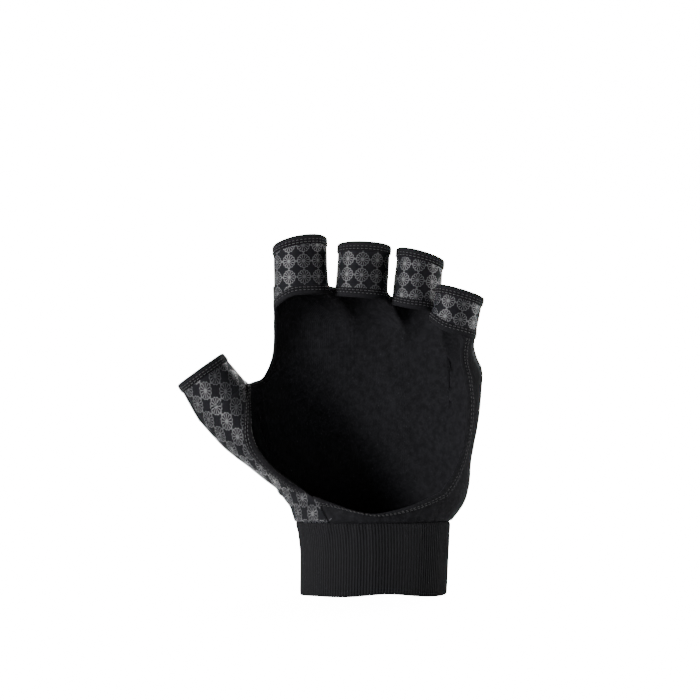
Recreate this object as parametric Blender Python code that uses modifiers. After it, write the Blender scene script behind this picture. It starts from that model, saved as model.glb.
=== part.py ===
"""An open-palm grip glove for the left hand, shaped as it is when a hand fills it.

The glove stands on its wrist cuff with the fingers up (+Z) and the open palm facing -Y.
The little finger is on the +X side and the thumb on the -X side.
All sizes below are in millimetres, and are turned into metres where a mesh is made.

Bodies, from the cuff up: the cuff, the hand part above it, four finger sleeves and the
thumb sleeve. Where the knit bends between two bodies there is a band of its own.
"""

import math

import bmesh
import bpy
import numpy as np
from mathutils import Vector

# Driving dimensions
MM = 0.001
KNIT = 1.2
HEM = 1.9
HEM_WIDTH = 4.0
CUFF_WALL = 1.7
GAP = 0.35
SHIFT = np.array([0.2, 1.07, 0.0])
CUFF_TOP = 31.3
WRIST_TOP = 43.5
BEND_START = 4.3
BEND_END = 10.9

# Each finger sleeve: its base centre on the palm hem line, its lean to the little finger side and
# to the back in degrees, its half-width and half-depth at the base and at the top, its length,
# the roll and pitch of its top edge, and the angles round it where its palm hem starts and ends.
FINGERS = {
    "index": dict(x=-12.5, y=-2.0, z=125.6, lean=-2.0, back=2.0, wide=(11.6, 11.1),
                  deep=(9.9, 9.6), long=22.6, roll=1.5, pitch=2.4, palm=(-83, 73)),
    "middle": dict(x=12.3, y=0.5, z=124.4, lean=4.0, back=2.0, wide=(11.1, 10.9),
                   deep=(9.7, 9.5), long=22.6, roll=0.3, pitch=1.2, palm=(-73, 73)),
    "ring": dict(x=35.3, y=1.6, z=119.6, lean=5.2, back=2.0, wide=(10.3, 9.9),
                 deep=(9.2, 9.0), long=23.6, roll=-1.7, pitch=1.2, palm=(-73, 52)),
    "little": dict(x=50.0, y=-12.9, z=109.6, lean=12.3, back=1.0, wide=(10.0, 9.9),
                   deep=(8.2, 8.0), long=18.2, roll=-0.7, pitch=0.8, palm=(-100, 82)),
}
# How far the palm hem line drops at each finger's thumb side and little finger side.
HEM_DROP = {"index": (5.2, -0.2), "middle": (-0.3, 0.0), "ring": (-1.4, 0.9),
            "little": (-3.4, 0.4)}

# The hand part's sections: height, thumb side edge, little finger side, depth centre,
# half-depth at the back and at the palm, and how far round the thumb side edge lies.
SECTIONS = np.array([
    (31.8, -15.8, 50.1, 0.0, 20.0, 20.4, 0.98),
    (37.5, -17.7, 55.4, -0.2, 19.6, 20.6, 0.95),
    (43.8, -19.5, 57.5, -0.6, 19.0, 20.6, 0.88),
    (54.0, -24.0, 58.7, -1.2, 18.0, 19.5, 0.82),
    (64.0, -28.0, 60.2, -1.6, 17.0, 18.0, 0.80),
    (74.0, -31.0, 61.8, -2.0, 16.2, 16.8, 0.80),
    (82.0, -32.6, 62.9, -2.0, 15.6, 16.0, 0.84),
    (88.4, -31.6, 63.4, -2.0, 15.2, 15.4, 0.92),
    (94.0, -27.2, 63.4, -2.0, 14.9, 15.0, 0.96),
    (100.0, -25.0, 62.0, -2.0, 14.6, 14.6, 0.98),
    (106.0, -24.4, 60.8, -2.0, 14.2, 14.2, 0.98),
    (116.0, -24.4, 60.6, -2.0, 13.6, 13.6, 0.98),
    (131.0, -24.2, 60.6, -2.0, 13.0, 13.0, 0.98),
])
# The palm opening's edge on the little finger side: height and distance across.
ULNAR_EDGE = np.array([(43.8, 45.6), (50.4, 50.4), (56.0, 53.0), (63.0, 55.2), (71.0, 56.8),
                       (81.0, 56.8), (90.0, 55.8), (97.0, 54.8), (105.0, 54.6)])
# The palm opening's edge across the heel: distance across and height.
HEEL_EDGE = np.array([(-7.5, 42.2), (-3.5, 40.6), (1.5, 38.9), (6.0, 37.4), (11.0, 35.7),
                      (16.0, 34.9), (21.0, 35.3), (28.0, 36.8), (34.0, 38.6), (40.0, 41.0),
                      (45.6, 43.8)])

# The thumb: outer side line and palm edge line of its printed panel, from the wrist band to the
# base line of its sleeve, each as (x, z), with depth, bulge and how far the section turns.
THUMB_OUTER = np.array([(-22.4, 43.8), (-33.7, 53.0), (-44.4, 61.4), (-55.4, 73.6)])
THUMB_INNER = np.array([(-13.2, 45.4), (-24.8, 54.6), (-31.8, 65.4), (-33.0, 75.0),
                        (-34.0, 88.4)])
THUMB_DEPTH = np.array([-0.6, -4.0, -7.5, -9.0])
THUMB_BULGE = np.array([20.6, 18.6, 14.6, 11.5])
THUMB_TURN = np.array([40.5, 70.0, 112.0, 172.0])
THUMB_BASE = np.array([-44.9, -9.0, 81.0])
THUMB_LEAN = -35.6
THUMB_WIDE = (12.9, 11.3)
THUMB_DEEP = (11.2, 10.6)
THUMB_LONG = 17.2
THUMB_BEND_END = 7.2
# how much of the printed panel's section the plain back covers at the wrist and at the thumb,
# and where the side seam runs round the thumb sleeve
SIDE_WRAP = (0.10, 0.135)
THUMB_SEAM = -66

ROUND_STEPS = 32


def spline(points, n):
    """n points spread evenly along a smooth curve through the given ones."""
    p = np.asarray(points, float)
    ends = np.vstack([2 * p[0] - p[1], p, 2 * p[-1] - p[-2]])
    fine = []
    for i in range(len(p) - 1):
        a, b, c, d = ends[i:i + 4]
        for t in np.linspace(0, 1, 16, endpoint=False):
            fine.append(0.5 * (2 * b + (c - a) * t + (2 * a - 5 * b + 4 * c - d) * t ** 2
                               + (3 * b - a - 3 * c + d) * t ** 3))
    fine = np.array(fine + [p[-1]])
    along = np.concatenate([[0], np.cumsum(np.linalg.norm(np.diff(fine, axis=0), axis=1))])
    at = np.linspace(0, along[-1], n)
    return np.stack([np.interp(at, along, fine[:, k]) for k in range(p.shape[1])], axis=1)


def section(z):
    """The hand part's section values at a height."""
    return [np.interp(z, SECTIONS[:, 0], SECTIONS[:, k]) for k in range(1, SECTIONS.shape[1])]


def hand_point(z, angle):
    """A point on the hand part: angle 0 is the palm, 90 the little finger side, 180 the back."""
    left, right, centre, deep_back, deep_palm, turn = section(z)
    a = (right - left) / (1 + turn)
    s, c = math.sin(math.radians(angle)), math.cos(math.radians(angle))
    return np.array([right - a + a * s, centre - (deep_palm if c > 0 else deep_back) * c, z])


def edge_angle(z):
    """The angle of the hand part's thumb side edge, as an angle past the back."""
    return 180 + math.degrees(math.asin(section(z)[5]))


def ulnar_angle(z):
    """The angle where the palm opening's edge runs on the little finger side."""
    left, right, _, _, _, turn = section(z)
    a = (right - left) / (1 + turn)
    x = np.interp(z, ULNAR_EDGE[:, 0], ULNAR_EDGE[:, 1])
    return math.degrees(math.asin(min(1.0, (x - right + a) / a)))


def arc_step(z, angle, distance):
    """How many degrees round the hand part a distance along its surface is."""
    left, right, _, deep_back, _, turn = section(z)
    a = (right - left) / (1 + turn)
    r = math.radians(angle)
    return math.degrees(distance / math.hypot(a * math.cos(r), deep_back * math.sin(r)))


def sleeve_axes(lean, back):
    """Unit vectors up a sleeve, to its little finger side and to its back."""
    t, b = math.radians(lean), math.radians(back)
    up = np.array([math.sin(t) * math.cos(b), math.sin(b), math.cos(t) * math.cos(b)])
    side = np.array([math.cos(t), 0, -math.sin(t)])
    return up, side, np.cross(up, side)


def sleeve_point(base, lean, back, wide, deep, long, up_by, angle):
    """A point on a tapered oval sleeve, up_by millimetres from its base along its axis."""
    up, side, rear = sleeve_axes(lean, back)
    t = up_by / long
    w, d = wide[0] + (wide[1] - wide[0]) * t, deep[0] + (deep[1] - deep[0]) * t
    r = math.radians(angle)
    return np.asarray(base) + up * up_by + side * w * math.sin(r) - rear * d * math.cos(r)


def finger_point(name, up_by, angle, grow=0.0):
    f = FINGERS[name]
    wide, deep = [v + grow for v in f["wide"]], [v + grow for v in f["deep"]]
    return sleeve_point((f["x"], f["y"], f["z"]), f["lean"], f["back"], wide, deep, f["long"],
                        up_by, angle)


def finger_top(name, angle):
    """The sleeve's top edge, which rolls and pitches a little."""
    f, r = FINGERS[name], math.radians(angle)
    return f["long"] + f["roll"] * math.sin(r) + f["pitch"] * math.cos(r)


def hem_bottom(name, angle):
    """The palm hem line's height up a sleeve."""
    low_side, high_side = HEM_DROP[name]
    s = math.sin(math.radians(angle))
    return -low_side * s ** 2 if s < 0 else -high_side * s ** 2


def thumb_point(up_by, angle, grow=0.0):
    wide, deep = [v + grow for v in THUMB_WIDE], [v + grow for v in THUMB_DEEP]
    return sleeve_point(THUMB_BASE, THUMB_LEAN, 0.0, wide, deep, THUMB_LONG, up_by, angle)


def fabric(name, colour, roughness):
    made = bpy.data.materials.new(name)
    made.use_nodes = True
    shader = made.node_tree.nodes["Principled BSDF"]
    shader.inputs["Base Color"].default_value = (*colour, 1)
    shader.inputs["Roughness"].default_value = roughness
    shader.inputs["Metallic"].default_value = 0
    return made


def sheet(name, rows, thick, material, closed=False):
    """A sheet of knit lofted through rows of points on its outer face, given its thickness inward."""
    rows = [np.asarray(row, float) for row in rows]
    mesh = bpy.data.meshes.new(name)
    grid = bmesh.new()
    verts = [[grid.verts.new(Vector((p + SHIFT) * MM)) for p in row]
             for row in rows]
    count = len(rows[0])
    for low, high in zip(verts, verts[1:]):
        for i in range(count if closed else count - 1):
            j = (i + 1) % count
            grid.faces.new((low[i], low[j], high[j], high[i]))
    grid.to_mesh(mesh)
    grid.free()
    obj = bpy.data.objects.new(name, mesh)
    glove.objects.link(obj)
    mesh.materials.append(material)
    mesh.shade_smooth()
    solid = obj.modifiers.new("thickness", "SOLIDIFY")
    solid.thickness = thick * MM
    solid.offset = -1
    return obj


def ring(make, *sizes):
    """A closed row of points round a sleeve."""
    return [make(*sizes, angle) for angle in np.linspace(0, 360, ROUND_STEPS, endpoint=False)]


def wrist_cuff():
    """The elastic cuff: a flat-bottomed oval tube with a slight waist."""
    rows = []
    for z, left, right, deep in ((0, -13.3, 48.4, 20.2), (9, -13.2, 48.8, 20.0),
                                 (18, -13.2, 49.2, 20.0), (26, -14.0, 49.6, 20.0),
                                 (CUFF_TOP, -15.4, 50.0, 20.2)):
        rows.append(((left + right) / 2, (right - left) / 2, deep, z))
    profile = [(*row, 0.0) for row in rows] + [(*row, CUFF_WALL) for row in reversed(rows)]
    mesh = bpy.data.meshes.new("wrist_cuff")
    tube = bmesh.new()
    steps = 2 * ROUND_STEPS
    loops = []
    for centre, wide, deep, z, inset in profile:
        loop = []
        for k in range(steps):
            r = 2 * math.pi * k / steps
            point = np.array([centre + (wide - inset) * math.sin(r),
                              -(deep - inset) * math.cos(r), z])
            loop.append(tube.verts.new(Vector((point + SHIFT) * MM)))
        loops.append(loop)
    for low, high in zip(loops, loops[1:] + loops[:1]):
        for i in range(steps):
            j = (i + 1) % steps
            tube.faces.new((low[i], low[j], high[j], high[i]))
    bmesh.ops.recalc_face_normals(tube, faces=tube.faces)
    tube.to_mesh(mesh)
    tube.free()
    obj = bpy.data.objects.new("wrist_cuff", mesh)
    glove.objects.link(obj)
    mesh.materials.append(rib)
    mesh.shade_smooth()
    mesh.set_sharp_from_angle(angle=math.radians(40))


def cuff_seam_allowance():
    """The folded seam allowance that runs round inside the top of the cuff."""
    rows = []
    for z in (CUFF_TOP - 3.4, CUFF_TOP - 1.9, CUFF_TOP - 0.4):
        row = []
        for angle in np.linspace(0, 2 * math.pi, 2 * ROUND_STEPS, endpoint=False):
            inset = CUFF_WALL + 0.5
            row.append(np.array([17.4 + (32.4 - inset) * math.sin(angle),
                                 -(20.1 - inset) * math.cos(angle), z]))
        rows.append(row)
    sheet("cuff_seam_allowance", rows, 1.0, plain, closed=True)


def wrist_zone():
    """The ends of the panels that are sewn to the cuff and bend at the wrist."""
    heights = np.linspace(CUFF_TOP + GAP, WRIST_TOP, 5)

    def low_point(z, angle):
        """The section here is whole, because the thumb has not branched off yet."""
        _, right, centre, deep_back, deep_palm, _ = section(z)
        left = np.interp(z, (31.8, 37.4, 42.0, 43.8), (-15.8, -17.7, -21.1, -22.4))
        a = (right - left) / 2
        r = math.radians(angle)
        deep = deep_palm if math.cos(r) > 0 else deep_back
        return np.array([right - a + a * math.sin(r), centre - deep * math.cos(r), z])

    def angle_at(z, x):
        _, right, *_ = section(z)
        left = np.interp(z, (31.8, 37.4, 42.0, 43.8), (-15.8, -17.7, -21.1, -22.4))
        a = (right - left) / 2
        return math.degrees(math.asin((x - right + a) / a))

    sheet("wrist_back_band",
          [[low_point(z, angle) for angle in np.linspace(92, 268, 15)] for z in heights],
          KNIT, plain)
    seam_x = HEEL_EDGE[0, 0]
    sheet("thumb_panel_tail",
          [[low_point(z, angle) for angle in np.linspace(-90, angle_at(z, seam_x - 0.2), 7)]
           for z in heights], KNIT, grip)
    across = spline(HEEL_EDGE, 20)
    columns_hem, columns_panel = [], []
    for k, (x, top) in enumerate(across):
        x += 0.2 * (k == 0)
        top = min(top, WRIST_TOP)
        base = CUFF_TOP + GAP
        hem_low = max(base, top - HEM_WIDTH)
        hem_low = max(hem_low, base + 0.28 * (top - base))
        columns_hem.append([low_point(z, angle_at(z, x)) for z in (hem_low + GAP, top)])
        columns_panel.append([low_point(z, angle_at(z, x))
                              for z in np.linspace(base, hem_low, 3)])
    last = across[-1, 0]
    for angle_share in (0.35, 0.7, 1.0):
        column = []
        for z in np.linspace(CUFF_TOP + GAP, WRIST_TOP, 3):
            start = angle_at(z, last + 0.2)
            column.append(low_point(z, start + (89.4 - start) * angle_share))
        columns_panel.append(column)
    sheet("heel_hem", list(zip(*columns_hem)), HEM, plain)
    sheet("heel_panel", list(zip(*columns_panel)), KNIT, plain)


def toward_finger(smooth, name, up_by, angle, below):
    """A point of the hand part drawn onto a finger's oval near the finger's base."""
    c = np.clip(1 - below / 17, 0, 1)
    c = c * c * (3 - 2 * c)
    return smooth + (finger_point(name, up_by - below, angle) - smooth) * c


def radial_start(z):
    """The angle where the back panel starts on the thumb side, behind the web hem."""
    start = edge_angle(z) - arc_step(z, edge_angle(z), 0.2)
    return start - arc_step(z, start, HEM_WIDTH + 2.9 * GAP) * np.clip((z - 84) / 4, 0, 1)


def back_panel():
    """The plain knit back of the hand, which also wraps the little finger side of the palm."""
    columns = []
    turns = {"index": (-112.4, -134, -157, 180, 160, 138, 116),
             "middle": (-114, -138, -160, 180, 160, 138, 114),
             "ring": (-114, -138, -160, 180, 150, 120, 94),
             "little": (-158, 180, 156, 132, 113, 97)}
    for name, angles in turns.items():
        for angle in angles:
            columns.append((name, angle, finger_point(name, BEND_START - GAP, angle)))
    left, right = columns[0][2][0], columns[-1][2][0]
    rows = []
    base = WRIST_TOP + GAP
    for v in np.linspace(0, 1, 15):
        row = []
        for name, angle, top in columns:
            z = base + (top[2] - base) * v
            across = np.clip(2 * (top[0] - left) / (right - left) - 1, -1, 1)
            share = (math.degrees(math.asin(across)) + 90) / 180
            start = radial_start(z)
            smooth = hand_point(z, start + (90 - start) * share)
            row.append(toward_finger(smooth, name, BEND_START - GAP, angle, top[2] - z))
        for share, angle in ((0.12, 84), (0.56, 68), (1.0, 52)):
            low = hem_bottom("little", angle) - 2.2 * GAP
            top = finger_point("little", low, angle)
            z = base + (top[2] - base) * v
            end = ulnar_angle(z) + arc_step(z, 60, HEM_WIDTH + 2 * GAP)
            smooth = hand_point(z, 90 + (end - 90) * share)
            row.append(toward_finger(smooth, "little", low, angle, top[2] - z))
        rows.append(row)
    sheet("back_panel", [row[::-1] for row in rows], KNIT, plain)


def ulnar_edge_hem():
    """The turned hem up the little finger side of the palm opening."""
    rows = []
    base = WRIST_TOP + GAP
    for v in np.linspace(0, 1, 16):
        row = []
        for share, angle in ((0, 27), (0.5, 37.4), (1, 48)):
            low = hem_bottom("little", angle) - 2.2 * GAP
            top = finger_point("little", low, angle)
            z = base + (top[2] - base) * v
            edge = ulnar_angle(z)
            smooth = hand_point(z, edge + arc_step(z, 60, HEM_WIDTH) * share)
            row.append(toward_finger(smooth, "little", low, angle, top[2] - z))
        rows.append(row)
    sheet("ulnar_edge_hem", rows, HEM, plain)


def web_edge_hem():
    """The turned hem over the web of the thumb and up to the index finger's sleeve."""
    rows = []
    low = hand_point(88.9, radial_start(88.9) + arc_step(88.9, radial_start(88.9), 3 * GAP))
    high = hand_point(91.0, edge_angle(91.0))
    for t in (0.0, 0.5):
        inner = thumb_point(0, 122, 0.9)
        edge = thumb_point(0, 93, 0.9)
        inner = inner + (low - inner) * t
        edge = edge + (high - edge) * t
        rows.append([inner, (inner + edge) / 2, edge])
    for v in np.linspace(0, 1, 13):
        row = []
        for share, angle in ((1, -107.4), (0.5, -98), (0, -89)):
            top = finger_point("index", BEND_START - GAP, angle)
            start = 88.9 + 2.1 * (1 - share)
            z = start + (top[2] - start) * v
            wide = edge_angle(z) - radial_start(z) - arc_step(z, edge_angle(z), 3 * GAP)
            smooth = hand_point(z, edge_angle(z) - wide * share)
            row.append(toward_finger(smooth, "index", BEND_START - GAP, angle, top[2] - z))
        rows.append(row)
    sheet("web_edge_hem", rows, HEM, plain)


def base_hem(node, names):
    """A palm hem that runs across the bases of neighbouring finger sleeves."""
    bottom, top = [], []
    for name in names:
        start, end = FINGERS[name]["palm"]
        for angle in np.linspace(start, end, 8):
            bottom.append(finger_point(name, hem_bottom(name, angle), angle))
            top.append(finger_point(name, BEND_START - GAP - 0.1, angle))
    middle = [(a + b) / 2 for a, b in zip(bottom, top)]
    sheet(node, [bottom, middle, top], HEM, grip)


def crotch_gussets():
    """The small gussets that join the palm hem to the back between two sleeves."""
    pairs = (("index", (91, 106), "middle", (-91, -106)),
             ("middle", (91, 106), "ring", (-91, -106)),
             ("ring", (72, 84), "little", (-118, -137)))
    for left, left_turn, right, right_turn in pairs:
        rows = []
        for t in np.linspace(0, 1, 4):
            a = finger_point(left, 2.8, left_turn[0] + (left_turn[1] - left_turn[0]) * t)
            b = finger_point(right, 2.8, right_turn[0] + (right_turn[1] - right_turn[0]) * t)
            if right != "little":
                a[2] = b[2] = (a[2] + b[2]) / 2
            across = (b - a) / np.linalg.norm(b - a)
            a, b = a + across * 0.25, b - across * 0.25
            rows.append([a, (a + b) / 2 - np.array([0, 0, 0.9]), b])
        sheet(f"crotch_gusset_{left}_{right}", rows, KNIT, plain)


def finger_sleeves():
    """Each finger sleeve: bend band, printed front, plain back and turned top hem."""
    for name in FINGERS:
        sheet(f"{name}_bend_band",
              [ring(finger_point, name, up) for up in np.linspace(BEND_START, BEND_END - GAP, 3)],
              KNIT, grip, closed=True)
        for part, start, end, material in (("grip_front", -108, 108, grip),
                                           ("back", 111.5, 248.5, plain)):
            rows = []
            for t in np.linspace(0, 1, 5):
                row = []
                for angle in np.linspace(start, end, 21 if part == "grip_front" else 13):
                    top = finger_top(name, angle) - HEM_WIDTH - GAP
                    row.append(finger_point(name, BEND_END + (top - BEND_END) * t, angle))
                rows.append(row)
            sheet(f"{name}_{part}", rows, KNIT, material)
        rows = []
        for t in (0, 0.5, 1):
            row = []
            for angle in np.linspace(0, 360, ROUND_STEPS, endpoint=False):
                up = finger_top(name, angle) - HEM_WIDTH * (1 - t)
                row.append(finger_point(name, up, angle, 0.3))
            rows.append(row)
        sheet(f"{name}_top_hem", rows, HEM, grip, closed=True)


def thumb_panels():
    """The printed panel up the ball of the thumb, the plain back of the thumb, and the hem."""
    count = 11
    outer, inner = spline(THUMB_OUTER, count), spline(THUMB_INNER, count)
    at = np.linspace(0, 1, count)
    marks = np.linspace(0, 1, len(THUMB_DEPTH))
    depth, bulge, turn = [np.interp(at, marks, v)
                          for v in (THUMB_DEPTH, THUMB_BULGE, THUMB_TURN)]
    fronts, hems, backs = [], [], []
    for k in range(count):
        far = math.radians(turn[k])
        length = np.linalg.norm(inner[k] - outer[k]) + 0.55 * bulge[k]
        hem_share = 1 - HEM_WIDTH / length
        side_share = SIDE_WRAP[0] + (SIDE_WRAP[1] - SIDE_WRAP[0]) * at[k]
        gap_share = 1 - (HEM_WIDTH + 1.8 * GAP) / length

        def point(share):
            angle = far * share
            p = outer[k] + (inner[k] - outer[k]) * (1 - math.cos(angle)) / (1 - math.cos(far))
            return np.array([p[0], depth[k] - bulge[k] * math.sin(angle), p[1]])

        fronts.append([point(s) for s in np.linspace(side_share + 0.7 / length, gap_share, 11)])
        hems.append([point(s) for s in (hem_share, (1 + hem_share) / 2, 1.0)])
        # the back runs from the side seam, round the outer side line, to the back panel's seam
        seam_z = np.interp(at[k], (0, 1), (WRIST_TOP + GAP, 88.3))
        seam_angle = radial_start(seam_z) + arc_step(seam_z, radial_start(seam_z), 2.1)
        seam = hand_point(seam_z, seam_angle)
        start = np.array([outer[k, 0], depth[k], outer[k, 1]])
        back = [point(side_share * s) for s in (1.0, 0.5)]
        for s in np.linspace(0, 1, 11):
            low = start + (seam - start) * np.array([1 - math.cos(math.pi / 2 * s),
                                                     math.sin(math.pi / 2 * s), s])
            if s < 0.75:
                ring_part = thumb_point(0, 270 - 148 * s / 0.75)
            else:
                ring_part = thumb_point(0, 122) + (seam - thumb_point(0, 122)) * (s - 0.75) / 0.25
            c = at[k] ** 1.6
            back.append(low + (ring_part - low) * c)
        backs.append(back)
    sheet("thumb_panel", fronts, KNIT, grip)
    sheet("thumb_edge_hem", hems, HEM, grip)
    sheet("thumb_back_panel", [row[::-1] for row in backs], KNIT, plain)


def thumb_sleeve():
    """The thumb sleeve: bend band, printed front, plain back and turned top hem."""
    sheet("thumb_bend_band",
          [ring(thumb_point, up) for up in np.linspace(0.9, THUMB_BEND_END - GAP, 3)],
          KNIT, grip, closed=True)
    top = THUMB_LONG - HEM_WIDTH - GAP
    for part, start, end, material in (("grip_front", THUMB_SEAM, 108, grip),
                                       ("back", 111.5, 356.5 + THUMB_SEAM, plain)):
        rows = [[thumb_point(up, angle) for angle in np.linspace(start, end, 19)]
                for up in np.linspace(THUMB_BEND_END, top, 3)]
        sheet(f"thumb_{part}", rows, KNIT, material)
    rows = [ring(thumb_point, THUMB_LONG - HEM_WIDTH * (1 - t)) for t in (0, 0.5, 1)]
    sheet("thumb_top_hem", rows, HEM, grip, closed=True)


for old in list(bpy.data.objects):
    bpy.data.objects.remove(old)
glove = bpy.data.collections.new("open_palm_grip_glove")
bpy.context.scene.collection.children.link(glove)

plain = fabric("plain_knit", (0.013, 0.013, 0.015), 0.8)
grip = fabric("grip_knit", (0.03, 0.03, 0.035), 0.55)
rib = fabric("elastic_rib", (0.012, 0.012, 0.014), 0.85)

wrist_cuff()
cuff_seam_allowance()
wrist_zone()
back_panel()
ulnar_edge_hem()
web_edge_hem()
base_hem("finger_base_hem", ("index", "middle", "ring"))
base_hem("little_base_hem", ("little",))
crotch_gussets()
thumb_panels()
finger_sleeves()
thumb_sleeve()
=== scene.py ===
import math

import bmesh
import bpy
import numpy as np
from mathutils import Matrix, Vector, noise


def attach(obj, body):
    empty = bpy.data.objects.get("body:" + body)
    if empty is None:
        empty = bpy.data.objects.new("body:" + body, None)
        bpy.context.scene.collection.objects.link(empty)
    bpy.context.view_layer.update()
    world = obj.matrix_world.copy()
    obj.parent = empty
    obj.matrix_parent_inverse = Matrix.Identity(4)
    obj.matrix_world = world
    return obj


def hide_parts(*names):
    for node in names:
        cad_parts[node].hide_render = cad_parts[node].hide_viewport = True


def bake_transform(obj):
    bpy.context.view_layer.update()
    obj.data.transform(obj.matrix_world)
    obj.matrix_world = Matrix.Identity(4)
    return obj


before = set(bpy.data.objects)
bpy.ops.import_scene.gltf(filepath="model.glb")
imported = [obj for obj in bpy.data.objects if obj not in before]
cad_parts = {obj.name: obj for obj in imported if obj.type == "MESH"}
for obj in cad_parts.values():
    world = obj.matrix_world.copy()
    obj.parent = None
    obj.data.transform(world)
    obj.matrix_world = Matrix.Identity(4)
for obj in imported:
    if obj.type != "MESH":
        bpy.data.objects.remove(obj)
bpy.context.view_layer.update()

# The studio: the glove stands on its cuff on white paper, which sweeps up behind it and turns up
# a little along its other edges. A tall soft box lights it from the left, a narrow one from the
# right and a small one from high up behind, in a pale room. The camera is level and looks
# straight at the open palm.
CAMERA_AWAY, HALF_VIEW = 1.40, 0.147
camera = bpy.data.objects.new("camera", bpy.data.cameras.new("camera"))
bpy.context.scene.collection.objects.link(camera)
camera.location = (0.0080, -CAMERA_AWAY, 0.1029)
camera.rotation_euler = (math.radians(90), 0, 0)
camera.data.angle = 2 * math.atan(HALF_VIEW / CAMERA_AWAY)
camera.data.clip_end = 20
bpy.context.scene.camera = camera

for title, place, width, height, power in (
    ("key_soft_box", (-1.20, -0.82, 0.22), 0.28, 0.8, 205),
    ("side_soft_box", (1.30, 0.10, 0.30), 0.30, 0.9, 78),
    ("back_soft_box", (0.45, 1.20, 1.10), 0.50, 0.5, 60),
):
    lamp = bpy.data.objects.new(title, bpy.data.lights.new(title, "AREA"))
    lamp.data.shape = "RECTANGLE"
    lamp.data.size = width
    lamp.data.size_y = height
    lamp.data.energy = power
    lamp.location = place
    aim = Vector((0, 0, 0.09)) - Vector(place)
    lamp.rotation_euler = aim.to_track_quat("-Z", "Y").to_euler()
    bpy.context.scene.collection.objects.link(lamp)

room = bpy.data.worlds.new("white_room")
room.use_nodes = True
room.node_tree.nodes["Background"].inputs["Color"].default_value = (1, 1, 1, 1)
room.node_tree.nodes["Background"].inputs["Strength"].default_value = 0.22
bpy.context.scene.world = room

PAPER_HALF, CURVE, PAPER_HIGH = 4.0, 1.2, 4.0
sweep = bmesh.new()
rim = ((0.6, 1.0), (0.45, 0.45), (0.2, 0.12), (0.0, 0.0))
profile = [(-PAPER_HALF - away, up) for away, up in rim] + [(CURVE, 0.0)]
profile += [(CURVE + CURVE * math.sin(t), CURVE - CURVE * math.cos(t))
            for t in np.linspace(0.1, 1.57, 16)]
profile += [(2 * CURVE, PAPER_HIGH)]
across = [(-PAPER_HALF - away, up) for away, up in rim]
across += [(PAPER_HALF + away, up) for away, up in rim[::-1]]
strips = [[sweep.verts.new((x, y, z + up)) for y, z in profile] for x, up in across]
for one, other in zip(strips, strips[1:]):
    for i in range(len(profile) - 1):
        sweep.faces.new((one[i], other[i], other[i + 1], one[i + 1]))
floor = bpy.data.objects.new("studio_sweep", bpy.data.meshes.new("studio_sweep"))
sweep.to_mesh(floor.data)
sweep.free()
floor.data.shade_smooth()
paper = bpy.data.materials.new("white_paper")
paper.use_nodes = True
paper_shader = paper.node_tree.nodes["Principled BSDF"]
paper_shader.inputs["Base Color"].default_value = (0.35, 0.35, 0.35, 1)
paper_shader.inputs["Roughness"].default_value = 0.9
paper_shader.inputs["Specular IOR Level"].default_value = 0.1
paper_shader.inputs["Emission Color"].default_value = (1, 1, 1, 1)
paper_shader.inputs["Emission Strength"].default_value = 14.0
floor.data.materials.append(paper)
bpy.context.scene.collection.objects.link(floor)
# the paper is lit from below so that it stays white, and that light is kept off the glove
lit = bpy.data.collections.new("lit_by_the_paper")
lit.objects.link(floor)
floor.light_linking.receiver_collection = lit

# Wrist cuff: one wide tube of ribbed elastic, folded double with the fold at the lower edge, and
# pulled on over the hand. Shapes from here on are worked out in millimetres from the middle of
# the glove, and every cloth map is in widths of one printed wheel.
MIDDLE = np.array([0.2, 1.07, 0.0])
WHEEL = 6.6


def ease(low, high, value):
    """0 up to low, 1 from high, and an even curve between them."""
    t = np.clip((value - low) / (high - low), 0, 1)
    return t * t * (3 - 2 * t)


def smooth_through(rows, per):
    """Rows of points filled in with a smooth curve through them, per steps for each given row."""
    p = np.asarray(rows, float)
    ends = np.concatenate([[2 * p[0] - p[1]], p, [2 * p[-1] - p[-2]]])
    made = []
    for i in range(len(p) - 1):
        a, b, c, d = ends[i:i + 4]
        for t in np.linspace(0, 1, per, endpoint=False):
            made.append(0.5 * (2 * b + (c - a) * t + (2 * a - 5 * b + 4 * c - d) * t ** 2
                               + (3 * b - a - 3 * c + d) * t ** 3))
    return np.array(made + [p[-1]])


def facing(grid, wrap=False):
    """The direction straight out of the cloth at each point of a grid of points."""
    if wrap:
        across = np.roll(grid, -1, axis=1) - np.roll(grid, 1, axis=1)
    else:
        across = np.gradient(grid, axis=1)
    out = np.cross(across, np.gradient(grid, axis=0))
    return out / np.maximum(np.linalg.norm(out, axis=2, keepdims=True), 1e-9)


def piece_from(name, made, finish):
    """A piece of the glove from a mesh that has been made, with its finish."""
    piece = bpy.data.objects.new(name, bpy.data.meshes.new(name))
    made.to_mesh(piece.data)
    made.free()
    bpy.context.scene.collection.objects.link(piece)
    piece.data.materials.append(finish)
    return piece


def moved_out(grid, out, by):
    """The cloth with each point moved straight out by a distance worked out from its place."""
    return np.array([[p + way * by(*p) for p, way in zip(row, ways)]
                     for row, ways in zip(grid, out)])


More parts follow.
